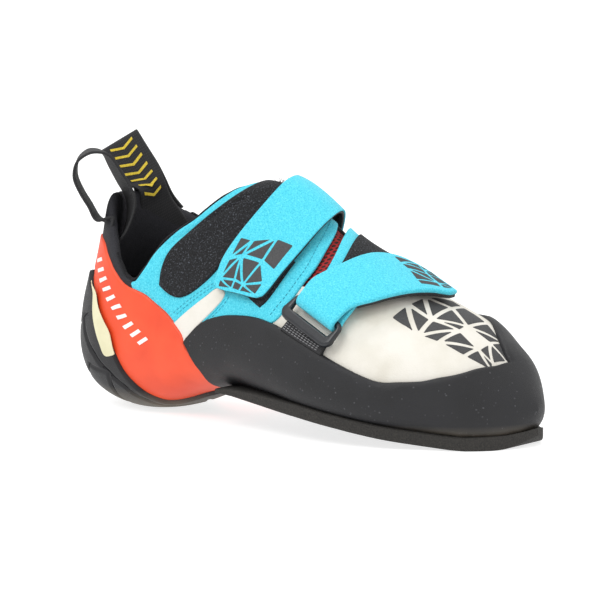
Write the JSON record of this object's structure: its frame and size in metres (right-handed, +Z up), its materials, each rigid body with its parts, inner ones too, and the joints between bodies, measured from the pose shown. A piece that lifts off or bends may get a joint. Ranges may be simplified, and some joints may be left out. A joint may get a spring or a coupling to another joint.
{
  "type": "climbing shoe",
  "caption": "Downturned rubber-soled shoe for the right foot with a rubber toe cap and heel cup, hook-and-loop straps, a ring buckle and webbing pull loops.",
  "frame": {"origin": "on the floor under the middle of the shoe's outline seen from above", "axes": "+X from heel to toe, +Y towards the big toe side, +Z up"},
  "size_m": [0.2446, 0.0922, 0.1279],
  "materials": {
    "upper_leather": "white microfibre vamp, cyan suede quarters and a black padded lining",
    "tongue_mesh": "red hexagon mesh",
    "insole_cloth": "dark matte lining board",
    "sole_rubber": "matte sole rubber with a cut edge",
    "rand_rubber": "matte black rubber with a fine texture",
    "heel_rand_rubber": "smooth orange-red rubber",
    "strap_suede": "cyan microfibre suede with a fine nap",
    "ring_plastic": "satin black plastic",
    "black_webbing": "black woven webbing"
  },
  "bodies": {
    "root": {"upper": "upper_leather", "tongue": "tongue_mesh", "insole": "insole_cloth", "outsole": "sole_rubber", "toe_rand": "rand_rubber", "heel_rand": "heel_rand_rubber", "heel_rubber": "rand_rubber", "top_strap": "strap_suede", "lower_strap": "strap_suede", "buckle_ring": "ring_plastic", "buckle_tab": "black_webbing", "pull_loop_outer": "black_webbing", "pull_loop_inner": "black_webbing"}
  },
  "joints": []
}
